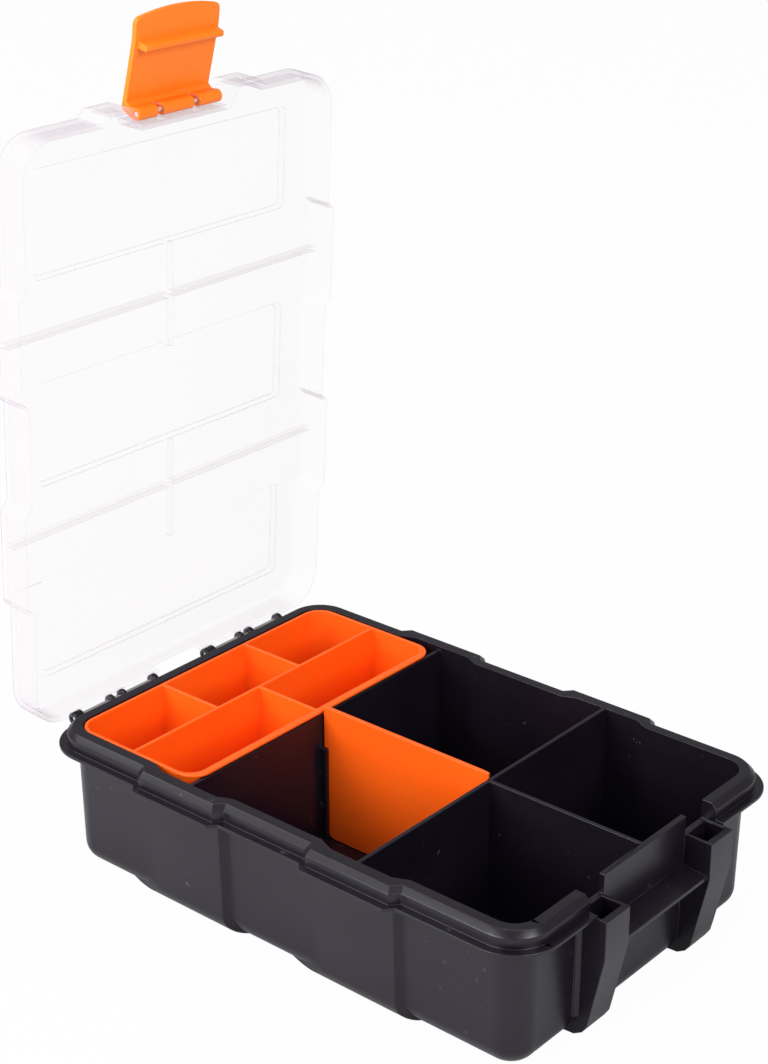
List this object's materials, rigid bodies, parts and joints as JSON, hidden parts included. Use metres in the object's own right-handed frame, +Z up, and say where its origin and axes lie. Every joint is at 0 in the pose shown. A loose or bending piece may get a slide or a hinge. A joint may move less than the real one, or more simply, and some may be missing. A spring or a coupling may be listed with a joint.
{
  "type": "tool case",
  "caption": "Open compartment case: drafted tub with fixed walls, clear hinged lid, swinging latch, lift-out compartment tray and a sliding divider.",
  "frame": {"origin": "middle of the tub's flat underside, on the surface that it stands on", "axes": "+Z up, +Y towards the hinge, -Y towards the latch, X across the case"},
  "size_m": [0.1588, 0.2386, 0.306],
  "materials": {
    "tub_plastic": "fine satin moulded plastic",
    "clear_plastic": "clear moulded plastic, slightly milky",
    "orange_plastic": "satin moulded plastic",
    "pin_steel": "bright drawn wire"
  },
  "bodies": {
    "tub": {"base": "tub_plastic", "hinge_pin_left": "pin_steel", "hinge_pin_right": "pin_steel"},
    "lid": {"lid": "clear_plastic", "latch_pin": "pin_steel"},
    "latch": {"latch": "orange_plastic"},
    "tray": {"insert_tray": "orange_plastic"},
    "divider": {"divider": "orange_plastic"}
  },
  "joints": [
    {"name": "lid_hinge", "type": "hinge", "parent": "tub", "child": "lid", "pos_m": [0, 0.1115, 0.0507], "axis": [1, 0, 0], "range_deg": [-18, 86.8]},
    {"name": "latch_hinge", "type": "hinge", "parent": "lid", "child": "latch", "pos_m": [0, 0.10378, 0.27111], "axis": [1, 0, 0], "range_deg": [-20, 79.5]},
    {"name": "tray_lift", "type": "slide", "parent": "tub", "child": "tray", "axis": [0, 0, 1], "range_m": [0, 0.09]},
    {"name": "divider_lift", "type": "slide", "parent": "tub", "child": "divider", "axis": [0, 0, 1], "range_m": [0, 0.09]}
  ]
}
